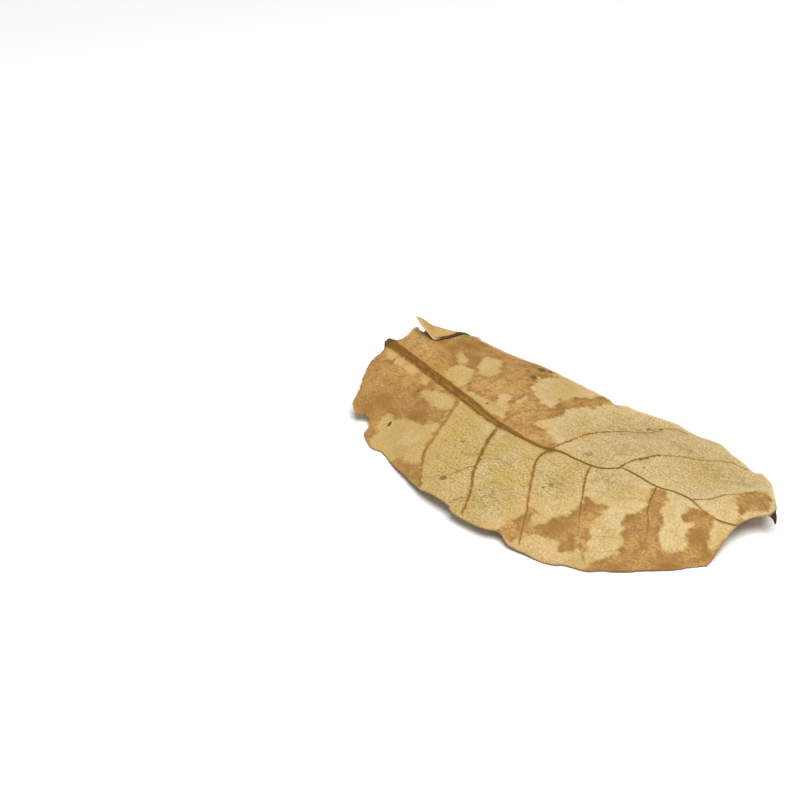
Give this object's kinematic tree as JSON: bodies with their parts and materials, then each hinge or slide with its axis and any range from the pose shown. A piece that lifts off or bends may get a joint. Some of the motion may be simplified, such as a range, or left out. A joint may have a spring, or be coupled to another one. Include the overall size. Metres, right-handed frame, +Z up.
{
  "type": "dried indian almond leaf",
  "caption": "Dried almond-tree leaf lying flat, ribbed underside up, with a torn base, a folded corner and a curled drip tip.",
  "frame": {"origin": "middle of the leaf's box, on the surface that it lies on", "axes": "+X from the torn base to the drip tip, +Y from the near margin to the far one, +Z up from the surface, out of the ribbed face"},
  "size_m": [0.1404, 0.0818, 0.0138],
  "materials": {
    "dry_leaf": "matt dry leaf, straw blotched with brown, brown ribs"
  },
  "bodies": {
    "root": {"leaf": "dry_leaf"}
  },
  "joints": []
}
